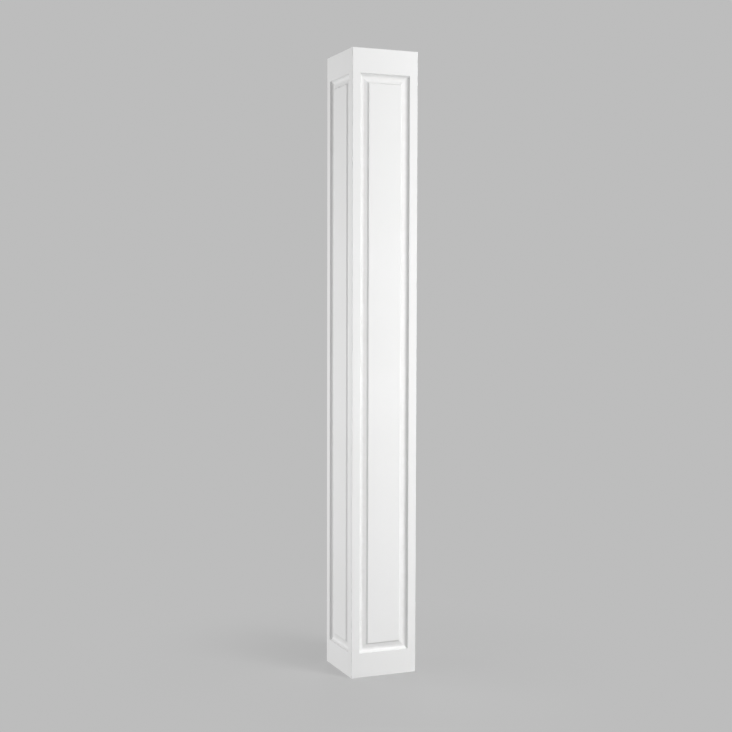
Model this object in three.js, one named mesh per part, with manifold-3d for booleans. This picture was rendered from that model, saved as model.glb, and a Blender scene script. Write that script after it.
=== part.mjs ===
// A square column shaft, moulded hollow in one piece, with a raised panel in each of its four faces.
// Millimetres, +Z up, origin at the centre of the underside.
import * as THREE from 'three';
import { mergeVertices } from 'three/addons/utils/BufferGeometryUtils.js';
import Module from 'manifold-3d';

// Shaft
const WIDTH = 308; // over the faces, the same both ways
const HEIGHT = 2743; // nine feet, end to end
const WALL = 29; // from the face of a stile to the bore
const ARRIS_RADIUS = 3; // eased upright corners
const BORE_RADIUS = 8; // inside corners of the bore
const CORNER_STEPS = 5; // facets round an upright corner

// Flat margins that frame each panel
const STILE = 38; // at the sides
const RAIL = 107; // above and below

// Panel moulding: how far in from the margin, and how deep below the face
const COVE_RADIUS = 17; // hollow that drops steeply from the margin and ends level
const COVE_STEPS = 6; // facets across the cove
const VALLEY_DEPTH = 14; // the narrow flat below the cove
const VALLEY_INSET = 20.5; // its far side
const SHOULDER_INSET = 35.5; // top of the gentle bevel
const SHOULDER_DEPTH = 9.5;
const FIELD_INSET = 41.5; // arris of the raised field
const FIELD_DEPTH = 3.5;
const OVERSHOOT = 5; // how far a cutter stands out of the face that it cuts

const FACES = 4;

const wasm = await Module();
wasm.setup();

// A closed geometry as a solid that can be cut
function toSolid(geometry) {
  const bare = geometry.clone();
  bare.deleteAttribute('normal');
  bare.deleteAttribute('uv');
  const merged = mergeVertices(bare);
  return new wasm.Manifold(new wasm.Mesh({
    numProp: 3,
    vertProperties: new Float32Array(merged.attributes.position.array),
    triVerts: new Uint32Array(merged.index.array),
  }));
}

// A cut solid as a flat-shaded geometry
function toGeometry(solid) {
  const mesh = solid.getMesh();
  const geometry = new THREE.BufferGeometry();
  geometry.setAttribute('position', new THREE.BufferAttribute(mesh.vertProperties, 3));
  geometry.setIndex(new THREE.BufferAttribute(mesh.triVerts, 1));
  const flat = geometry.toNonIndexed();
  flat.computeVertexNormals();
  return flat;
}

// A square with round corners, traced anticlockwise on the given path
function roundSquare(path, side, radius) {
  const half = side / 2;
  const reach = half - radius;
  path.moveTo(-reach, -half);
  path.lineTo(reach, -half);
  path.absarc(reach, -reach, radius, -Math.PI / 2, 0);
  path.lineTo(half, reach);
  path.absarc(reach, reach, radius, 0, Math.PI / 2);
  path.lineTo(-reach, half);
  path.absarc(-reach, reach, radius, Math.PI / 2, Math.PI);
  path.lineTo(-half, -reach);
  path.absarc(-reach, -reach, radius, Math.PI, Math.PI * 1.5);
  return path;
}

// The plain hollow shaft, open at both ends
function plainShaft() {
  const plan = roundSquare(new THREE.Shape(), WIDTH, ARRIS_RADIUS);
  plan.holes.push(roundSquare(new THREE.Path(), WIDTH - 2 * WALL, BORE_RADIUS));
  return new THREE.ExtrudeGeometry(plan, {
    depth: HEIGHT,
    steps: 1,
    curveSegments: CORNER_STEPS,
    bevelEnabled: false,
  });
}

// The moulding's section from margin to field, x being the inset and y the depth
function mouldingSection() {
  const sweep = Math.acos(1 - VALLEY_DEPTH / COVE_RADIUS);
  const section = [];
  for (let i = 0; i <= COVE_STEPS; i += 1) {
    const turn = sweep * (1 - i / COVE_STEPS);
    const inset = COVE_RADIUS * (Math.sin(sweep) - Math.sin(turn));
    const depth = VALLEY_DEPTH - COVE_RADIUS * (1 - Math.cos(turn));
    section.push(new THREE.Vector2(inset, depth));
  }
  section.push(new THREE.Vector2(VALLEY_INSET, VALLEY_DEPTH));
  section.push(new THREE.Vector2(SHOULDER_INSET, SHOULDER_DEPTH));
  section.push(new THREE.Vector2(FIELD_INSET, FIELD_DEPTH));
  return section;
}

// What is hollowed out of the front face: nested oblongs, one for each point of the section
function panelCutter() {
  const levels = [new THREE.Vector2(0, -OVERSHOOT), ...mouldingSection()];
  const signs = [[-1, -1], [1, -1], [1, 1], [-1, 1]];
  const corners = signs.length;
  const positions = [];
  for (const level of levels) {
    const halfWide = WIDTH / 2 - STILE - level.x;
    const halfTall = HEIGHT / 2 - RAIL - level.x;
    for (const [side, end] of signs) {
      positions.push(side * halfWide, level.y - WIDTH / 2, HEIGHT / 2 + end * halfTall);
    }
  }
  const index = [0, 1, 2, 0, 2, 3];
  for (let row = 0; row < levels.length - 1; row += 1) {
    for (let corner = 0; corner < corners; corner += 1) {
      const here = row * corners + corner;
      const next = row * corners + ((corner + 1) % corners);
      index.push(here, here + corners, next + corners, here, next + corners, next);
    }
  }
  const last = (levels.length - 1) * corners;
  index.push(last, last + 2, last + 1, last, last + 3, last + 2);
  const geometry = new THREE.BufferGeometry();
  geometry.setAttribute('position', new THREE.Float32BufferAttribute(positions, 3));
  geometry.setIndex(index);
  return geometry;
}

// The shaft with its panels sunk into all four faces
function columnShaft() {
  const cutter = panelCutter();
  let solid = toSolid(plainShaft());
  for (let face = 0; face < FACES; face += 1) {
    const turned = cutter.clone().rotateZ((2 * Math.PI * face) / FACES);
    solid = solid.subtract(toSolid(turned));
  }
  const material = new THREE.MeshStandardMaterial({ color: '#f3f3f2', roughness: 0.5, metalness: 0 });
  const mesh = new THREE.Mesh(toGeometry(solid), material);
  mesh.name = 'column_shaft';
  return mesh;
}

const column = new THREE.Group();
column.add(columnShaft());

export default column;
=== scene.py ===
import math

import bmesh
import bpy
from mathutils import Euler, Matrix, Vector


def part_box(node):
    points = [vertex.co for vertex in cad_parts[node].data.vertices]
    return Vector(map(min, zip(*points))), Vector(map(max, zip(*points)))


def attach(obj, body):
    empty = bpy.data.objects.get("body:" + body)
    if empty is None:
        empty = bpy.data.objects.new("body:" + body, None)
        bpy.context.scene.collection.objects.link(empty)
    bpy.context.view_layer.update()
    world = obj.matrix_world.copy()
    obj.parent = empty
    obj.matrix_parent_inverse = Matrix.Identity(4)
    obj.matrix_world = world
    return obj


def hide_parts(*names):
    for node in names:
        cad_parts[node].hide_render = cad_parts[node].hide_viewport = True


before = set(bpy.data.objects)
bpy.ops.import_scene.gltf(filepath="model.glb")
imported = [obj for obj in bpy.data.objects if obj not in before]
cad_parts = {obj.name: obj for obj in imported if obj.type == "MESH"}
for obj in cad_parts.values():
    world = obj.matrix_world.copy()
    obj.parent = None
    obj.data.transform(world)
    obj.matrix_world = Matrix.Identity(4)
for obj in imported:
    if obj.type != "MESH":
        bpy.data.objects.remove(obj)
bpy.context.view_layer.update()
print("frame loaded:", sorted(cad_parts))

millimetre = 0.001


# picking by place

def deselectAll():
    if bpy.context.object and bpy.context.object.mode != "OBJECT":
        bpy.ops.object.mode_set(mode="OBJECT")
    bpy.ops.object.select_all(action="DESELECT")


def pickFaces(piece, test):
    bpy.ops.mesh.select_mode(type="FACE")
    bpy.ops.mesh.select_all(action="DESELECT")
    mesh = bmesh.from_edit_mesh(piece.data)
    mesh.normal_update()
    for face in mesh.faces:
        if test(face.calc_center_median(), face.normal):
            face.select_set(True)
    bmesh.update_edit_mesh(piece.data)


def pickEdges(piece, test):
    bpy.ops.mesh.select_mode(type="EDGE")
    bpy.ops.mesh.select_all(action="DESELECT")
    mesh = bmesh.from_edit_mesh(piece.data)
    for edge in mesh.edges:
        if test(edge):
            edge.select_set(True)
    bmesh.update_edit_mesh(piece.data)


def farthestOut(point):  # from the shaft's axis, measured square to its faces
    return max(abs(point.x), abs(point.y))


# camera

photoCamera = {
    "eye": (-2.2551, -5.4277, 1.6650),  # standing height, six metres off, left of the front face
    "yaw": 22.337,  # degrees, turned right from looking along +Y
    "pitch": -2.932,  # degrees, a little down
    "roll": 0.140,  # degrees
    "lens": 64.48,  # mm
    "sensor": 36.0,  # mm, across the square picture
}


def placeCamera(settings):
    deselectAll()
    bpy.ops.object.camera_add(location=settings["eye"])
    camera = bpy.context.object
    camera.name = "photoCamera"
    aim = Euler((math.radians(90 + settings["pitch"]), 0, math.radians(-settings["yaw"])))
    turn = aim.to_matrix() @ Matrix.Rotation(math.radians(settings["roll"]), 3, "Z")
    camera.rotation_euler = turn.to_euler()
    camera.data.sensor_fit = "HORIZONTAL"
    camera.data.sensor_width = settings["sensor"]
    camera.data.lens = settings["lens"]
    bpy.context.scene.camera = camera
    print("camera placed, lens", settings["lens"], "mm")


placeCamera(photoCamera)


# shader maths

class Value:  # what a socket gives out; sums on it add Math nodes
    def __init__(self, nodes, socket):
        self.nodes = nodes
        self.socket = socket

    def maths(self, operation, first, second):
        return self.nodes.node("ShaderNodeMath", {"operation": operation}, [first, second])

    def __add__(self, other):
        return self.maths("ADD", self, other)

    def __radd__(self, other):
        return self.maths("ADD", other, self)

    def __sub__(self, other):
        return self.maths("SUBTRACT", self, other)

    def __rsub__(self, other):
        return self.maths("SUBTRACT", other, self)

    def __mul__(self, other):
        return self.maths("MULTIPLY", self, other)

    def __rmul__(self, other):
        return self.maths("MULTIPLY", other, self)


class Nodes:  # the node tree of a material or of the world
    def __init__(self, tree):
        self.tree = tree

    def put(self, socket, value):
        if isinstance(value, Value):
            self.tree.links.new(value.socket, socket)
        else:
            socket.default_value = value

    def node(self, kind, settings=None, sockets=(), out=0):
        made = self.tree.nodes.new(kind)
        for name, value in (settings or {}).items():
            setattr(made, name, value)
        named = sockets.items() if isinstance(sockets, dict) else enumerate(sockets)
        for key, value in named:
            self.put(made.inputs[key], value)
        return Value(self, made.outputs[out])

    def show(self, output, shader):  # what the tree's output node draws
        self.put(self.tree.nodes[output].inputs["Surface"], shader)


mixColours = {"first": 6, "second": 7, "out": 2}  # a Mix node's colour sockets, known by number only
noiseMiddle = 0.5


class Finish(Nodes):  # one material
    def __init__(self, name):
        self.material = bpy.data.materials.new(name)
        self.material.use_nodes = True
        super().__init__(self.material.node_tree)
        self.shader = self.tree.nodes["Principled BSDF"]

    def feed(self, name, value):
        self.put(self.shader.inputs[name], value)

    def place(self):
        spot = self.node("ShaderNodeTexCoord", out="Object")
        return self.node("ShaderNodeMapping", {}, {"Vector": spot})

    def noise(self, where, scale, detail):
        return self.node("ShaderNodeTexNoise", {}, {"Vector": where, "Scale": scale, "Detail": detail})

    def ramp(self, value, low, high):  # smooth 0 to 1 as the value goes from low to high
        return self.node("ShaderNodeMapRange", {"interpolation_type": "SMOOTHSTEP"}, {
            "Value": value, "From Min": low, "From Max": high,
        })

    def mix(self, share, first, second):
        return self.node("ShaderNodeMix", {"data_type": "RGBA"}, {
            "Factor": share, mixColours["first"]: first, mixColours["second"]: second,
        }, out=mixColours["out"])

    def bump(self, height, strength, distance, under=None):
        sockets = {"Height": height, "Strength": strength, "Distance": distance}
        if under is not None:
            sockets["Normal"] = under
        return self.node("ShaderNodeBump", {}, sockets)


# column shaft

columnShaft = {
    "node": "column_shaft",
    "slot": "white_satin",
    "wall": 29 * millimetre,
    "arris": 3 * millimetre,  # radius of the eased upright corners
    "boreCorner": 8 * millimetre,
    "cornerSteps": 6,
    "stile": 38 * millimetre,
    "rail": 107 * millimetre,
    "coveRadius": 17 * millimetre,  # hollow that drops steeply from the margin and ends level
    "coveSteps": 10,
    "valleyDepth": 14 * millimetre,  # the narrow flat below the cove
    "valleyInset": 20.5 * millimetre,  # its far side
    "shoulderInset": 35.5 * millimetre,  # top of the gentle bevel
    "shoulderDepth": 9.5 * millimetre,
    "fieldInset": 41.5 * millimetre,  # arris of the raised field
    "fieldDepth": 3.5 * millimetre,
    "crispness": 0.7 * millimetre,  # width of the easing on the moulding's sharp lines
    "easeSteps": 2,
    "easeAbove": 20,  # degrees between two faces
    "smoothBelow": 40,  # degrees
}

satinWhite = {
    "tone": (0.80, 0.80, 0.80, 1),
    "shade": (0.775, 0.775, 0.77, 1),  # in faint clouds
    "cloud": {"scale": 2.3, "detail": 3.0},
    "cloudRange": (0.35, 0.65),  # of the noise, from clear to clouded
    "cloudShare": 0.6,
    "mottle": {"scale": 38.0, "detail": 4.0},
    "mottleRange": (0.3, 0.7),
    "mottleShare": 0.3,
    "dustAndPaintedShade": (0.70, 0.695, 0.68, 1),  # faint dust and painted shade, at the bottom of the moulding
    "dustAndPaintedShadeFrom": 0.7,  # of the moulding's depth
    "dustAndPaintedShadeShare": 0.35,
    "roughness": 0.52,
    "roughnessSpread": 0.12,
    "peel": {"scale": 420.0, "detail": 2.0},  # the coat's fine texture
    "peelBump": {"strength": 0.12, "distance": 0.15 * millimetre},
    "wave": {"scale": 9.0, "detail": 1.0},
    "waveBump": {"strength": 0.15, "distance": 0.4 * millimetre},
}


def paintSatinWhite(settings, halfWidth, valleyDepth):
    finish = Finish("satinWhite")
    where = finish.place()
    cloud = finish.ramp(finish.noise(where, **settings["cloud"]), *settings["cloudRange"])
    mottle = finish.noise(where, **settings["mottle"])
    sides = []
    for axis in ("X", "Y"):
        across = finish.node("ShaderNodeSeparateXYZ", {}, [where], out=axis)
        sides.append(finish.node("ShaderNodeMath", {"operation": "ABSOLUTE"}, [across]))
    sunk = halfWidth - finish.node("ShaderNodeMath", {"operation": "MAXIMUM"}, sides)
    # painted shade, with some dust: the base colour darkens in the deepest part of the moulding's recess
    low = finish.ramp(sunk, settings["dustAndPaintedShadeFrom"] * valleyDepth, valleyDepth)
    settledDustAndShade = low * finish.ramp(mottle, *settings["mottleRange"]) * settings["dustAndPaintedShadeShare"]
    shaded = cloud * settings["cloudShare"] + mottle * settings["mottleShare"]
    tone = finish.mix(shaded, settings["tone"], settings["shade"])
    finish.feed("Base Color", finish.mix(settledDustAndShade, tone, settings["dustAndPaintedShade"]))
    finish.feed("Roughness", settings["roughness"] + (mottle - noiseMiddle) * settings["roughnessSpread"])
    wave = finish.bump(finish.noise(where, **settings["wave"]), **settings["waveBump"])
    peel = finish.noise(where, **settings["peel"])
    finish.feed("Normal", finish.bump(peel, **settings["peelBump"], under=wave))
    print("finish made:", finish.material.name)
    return finish.material


cutPolymer = {
    "tone": (0.80, 0.798, 0.782, 1),
    "pore": (0.69, 0.685, 0.665, 1),
    "cellScale": 700.0,
    "poreRange": (0.1, 0.45),  # of the distance from a cell's middle
    "poreShare": 0.5,
    "cellBump": {"strength": 0.25, "distance": 0.15 * millimetre},
    "grain": {"scale": 55.0, "detail": 5.0},
    "grainShare": 0.3,
    "roughness": 0.72,
    "roughnessSpread": 0.15,
    "kerf": {"Scale": 60.0, "Distortion": 1.5, "Detail": 2.0},  # the saw's marks
    "kerfBump": {"strength": 0.12, "distance": 0.2 * millimetre},
}


def paintCutPolymer(settings):
    finish = Finish("cutPolymer")
    where = finish.place()
    cells = finish.node("ShaderNodeTexVoronoi", {}, {"Vector": where, "Scale": settings["cellScale"]})
    grain = finish.noise(where, **settings["grain"])
    pores = 1 - finish.ramp(cells, *settings["poreRange"])
    spotted = pores * settings["poreShare"] + grain * settings["grainShare"]
    finish.feed("Base Color", finish.mix(spotted, settings["tone"], settings["pore"]))
    finish.feed("Roughness", settings["roughness"] + (grain - noiseMiddle) * settings["roughnessSpread"])
    kerf = finish.node("ShaderNodeTexWave", {"bands_direction": "DIAGONAL"}, {
        "Vector": where, **settings["kerf"],
    })
    sawn = finish.bump(kerf, **settings["kerfBump"])
    finish.feed("Normal", finish.bump(cells, **settings["cellBump"], under=sawn))
    print("finish made:", finish.material.name)
    return finish.material


def mouldingSteps(settings):  # each step inwards and downwards from margin to field
    radius, depth, steps = settings["coveRadius"], settings["valleyDepth"], settings["coveSteps"]
    sweep = math.acos(1 - depth / radius)
    line = []
    for step in range(steps + 1):
        turn = sweep * (1 - step / steps)
        inset = radius * (math.sin(sweep) - math.sin(turn))
        line.append((inset, depth - radius * (1 - math.cos(turn))))
    line.append((settings["valleyInset"], depth))
    line.append((settings["shoulderInset"], settings["shoulderDepth"]))
    line.append((settings["fieldInset"], settings["fieldDepth"]))
    return [(b[0] - a[0], b[1] - a[1]) for a, b in zip(line, line[1:])]


def modelColumnShaft(settings):
    low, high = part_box(settings["node"])
    width, height = high.x - low.x, high.z - low.z
    half, bore = width / 2, width / 2 - settings["wall"]
    near = 0.5 * millimetre  # as good as touching
    square = 0.999  # as good as looking straight along an axis

    deselectAll()
    bpy.ops.mesh.primitive_cube_add(size=1, location=(0, 0, height / 2), scale=(width, width, height))
    shaft = bpy.context.object
    shaft.name = "columnShaft"
    bpy.ops.object.transform_apply(location=True, rotation=True, scale=True)

    # open both ends and join them with the bore
    bpy.ops.object.mode_set(mode="EDIT")
    pickFaces(shaft, lambda spot, normal: abs(normal.z) > square)
    bpy.ops.mesh.inset(thickness=settings["wall"], depth=0, use_individual=True)
    bpy.ops.mesh.delete(type="ONLY_FACE")
    pickEdges(shaft, lambda edge: edge.is_boundary)
    bpy.ops.mesh.bridge_edge_loops()
    bpy.ops.mesh.select_all(action="SELECT")
    bpy.ops.mesh.normals_make_consistent(inside=False)

    # ease the upright corners, outside and in the bore
    def upright(reach):
        def test(edge):
            ends = [vert.co for vert in edge.verts]
            tall = abs(ends[0].z - ends[1].z) > height / 2
            return tall and all(abs(abs(c) - reach) < near for end in ends for c in (end.x, end.y))
        return test

    for reach, radius in ((half, settings["arris"]), (bore, settings["boreCorner"])):
        pickEdges(shaft, upright(reach))
        bpy.ops.mesh.bevel(
            offset=radius, offset_type="OFFSET", segments=settings["cornerSteps"],
            profile=0.5, affect="EDGES")  # a round profile

    # margins: the stile all round, then the ends drawn in to the rails
    def onOuterFace(spot, normal):
        return abs(farthestOut(spot) - half) < near and farthestOut(normal) > square

    pickFaces(shaft, onOuterFace)
    gap = settings["stile"] - settings["arris"]
    bpy.ops.mesh.inset(thickness=gap, depth=0, use_individual=True)
    drawn = (height / 2 - settings["rail"]) / (height / 2 - gap)
    bpy.ops.transform.resize(value=(1, 1, drawn), center_override=(0, 0, height / 2))

    # sink the moulding and raise the field, ring by ring
    for inwards, downwards in mouldingSteps(settings):
        bpy.ops.mesh.inset(thickness=inwards, depth=-downwards, use_individual=True)

    # painted faces first, bare cut ends and bore second
    def bare(spot, normal):
        atAnEnd = spot.z < near or spot.z > height - near
        return (atAnEnd and abs(normal.z) > square) or farthestOut(spot) < bore + near

    shaft.data.materials.append(paintSatinWhite(satinWhite, half, settings["valleyDepth"]))
    shaft.data.materials.append(paintCutPolymer(cutPolymer))
    pickFaces(shaft, bare)
    shaft.active_material_index = 1
    bpy.ops.object.material_slot_assign()
    bpy.ops.object.mode_set(mode="OBJECT")

    # ease the sharp lines a little
    ease = shaft.modifiers.new("ease", "BEVEL")
    ease.width = settings["crispness"]
    ease.segments = settings["easeSteps"]
    ease.limit_method = "ANGLE"
    ease.angle_limit = math.radians(settings["easeAbove"])
    bpy.ops.object.modifier_apply(modifier="ease")
    bpy.ops.object.shade_smooth_by_angle(angle=math.radians(settings["smoothBelow"]))
    flat = shaft.modifiers.new("flat", "WEIGHTED_NORMAL")
    flat.keep_sharp = True
    bpy.ops.object.modifier_apply(modifier="flat")

    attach(shaft, "root")
    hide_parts(settings["node"])
    print("shaft modelled:", len(shaft.data.polygons), "faces")


modelColumnShaft(columnShaft)


# floor and light

studioGrey = (0.508, 0.508, 0.508, 1)  # shows behind the shaft, and the floor fades into it

studioFloor = {
    "radius": 30.0,  # metres
    "sides": 96,
    "tone": (0.53, 0.53, 0.53, 1),  # of the pale paper
    "roughness": 0.9,
    "specular": 0.1,
    "nearGrey": 0.68,  # share of the grey at the shaft, where the soft shadow shows
    "fadeRange": (0.2, 1.3),  # metres from the shaft's axis
}


def layFloor(settings):
    deselectAll()
    bpy.ops.mesh.primitive_circle_add(
        vertices=settings["sides"], radius=settings["radius"], fill_type="NGON")
    floor = bpy.context.object
    floor.name = "studioFloor"
    finish = Finish("studioFloor")
    away = finish.node("ShaderNodeVectorMath", {"operation": "LENGTH"}, [finish.place()], out="Value")
    finish.feed("Base Color", settings["tone"])
    finish.feed("Roughness", settings["roughness"])
    finish.feed("Specular IOR Level", settings["specular"])
    paper = Value(finish, finish.shader.outputs["BSDF"])
    grey = finish.node("ShaderNodeEmission", {}, {"Color": studioGrey})
    near = settings["nearGrey"]
    fade = near + (1 - near) * finish.ramp(away, *settings["fadeRange"])
    finish.show("Material Output", finish.node("ShaderNodeMixShader", {}, [fade, paper, grey]))
    floor.data.materials.append(finish.material)
    floor.visible_diffuse = floor.visible_glossy = False  # it doesn't light the shaft
    floor.visible_shadow = False  # nor hide the room's glow from it
    print("floor laid")


layFloor(studioFloor)

studioLight = {
    "ambient": (0.27, 0.27, 0.27, 1),  # what the dim room adds all round
    "lamps": {  # metres, watts, and degrees, a bearing being from the front to the right
        "key": {"bearing": 32, "distance": 4.2, "height": 1.6, "aim": 1.4,
                "size": (1.4, 3.2), "spread": 180, "power": 117},
        "overhead": {"bearing": 20, "distance": 2.6, "height": 4.4, "aim": 1.4,
                     "size": (1.6, 1.6), "spread": 180, "power": 37},
        "lower": {"bearing": 30, "distance": 3.0, "height": 3.4, "aim": 0.1,
                  "size": (1.4, 1.4), "spread": 50, "power": 3.3},
        "foot": {"bearing": 15, "distance": 3.0, "height": 1.0, "aim": -0.25,
                 "size": (0.8, 0.8), "spread": 24, "power": 0.18},
        "side": {"bearing": -85, "distance": 4.0, "height": 1.0, "aim": 1.4,
                 "size": (2.0, 1.6), "spread": 180, "power": 43},
        "sideBack": {"bearing": -125, "distance": 6.5, "height": 1.5, "aim": 1.4,
                     "size": (2.4, 3.2), "spread": 180, "power": 204},
        "back": {"bearing": 158, "distance": 5.0, "height": 1.4, "aim": 1.4,
                 "size": (1.2, 2.2), "spread": 180, "power": 55},
        "top": {"bearing": 140, "distance": 1.6, "height": 5.4, "aim": 2.74,
                "size": (0.8, 0.8), "spread": 24, "power": 1.2},
    },
}


def glowRoom(settings):  # the camera sees the grey, and the shaft gets the dimmer glow
    world = bpy.data.worlds.new("studio")
    bpy.context.scene.world = world
    world.use_nodes = True
    room = Nodes(world.node_tree)
    seen = room.node("ShaderNodeLightPath", out="Is Camera Ray")
    glow = room.node("ShaderNodeBackground", {}, {"Color": settings["ambient"]})
    grey = room.node("ShaderNodeBackground", {}, {"Color": studioGrey})
    room.show("World Output", room.node("ShaderNodeMixShader", {}, [seen, glow, grey]))
    print("room lit")


def hangLamps(settings):
    for name, lamp in settings["lamps"].items():
        deselectAll()
        bearing = math.radians(lamp["bearing"])
        reach = lamp["distance"]
        at = Vector((reach * math.sin(bearing), -reach * math.cos(bearing), lamp["height"]))
        aim = Vector((0, 0, lamp["aim"])) - at
        turn = aim.to_track_quat("-Z", "Y").to_euler()
        bpy.ops.object.light_add(type="AREA", location=at, rotation=turn)
        light = bpy.context.object
        light.name = name
        light.data.shape = "RECTANGLE"
        light.data.size, light.data.size_y = lamp["size"]
        light.data.spread = math.radians(lamp["spread"])
        light.data.energy = lamp["power"]
        light.visible_camera = False
    print("lamps set:", ", ".join(settings["lamps"]))


glowRoom(studioLight)
hangLamps(studioLight)
bpy.context.scene.view_settings.view_transform = "Standard"
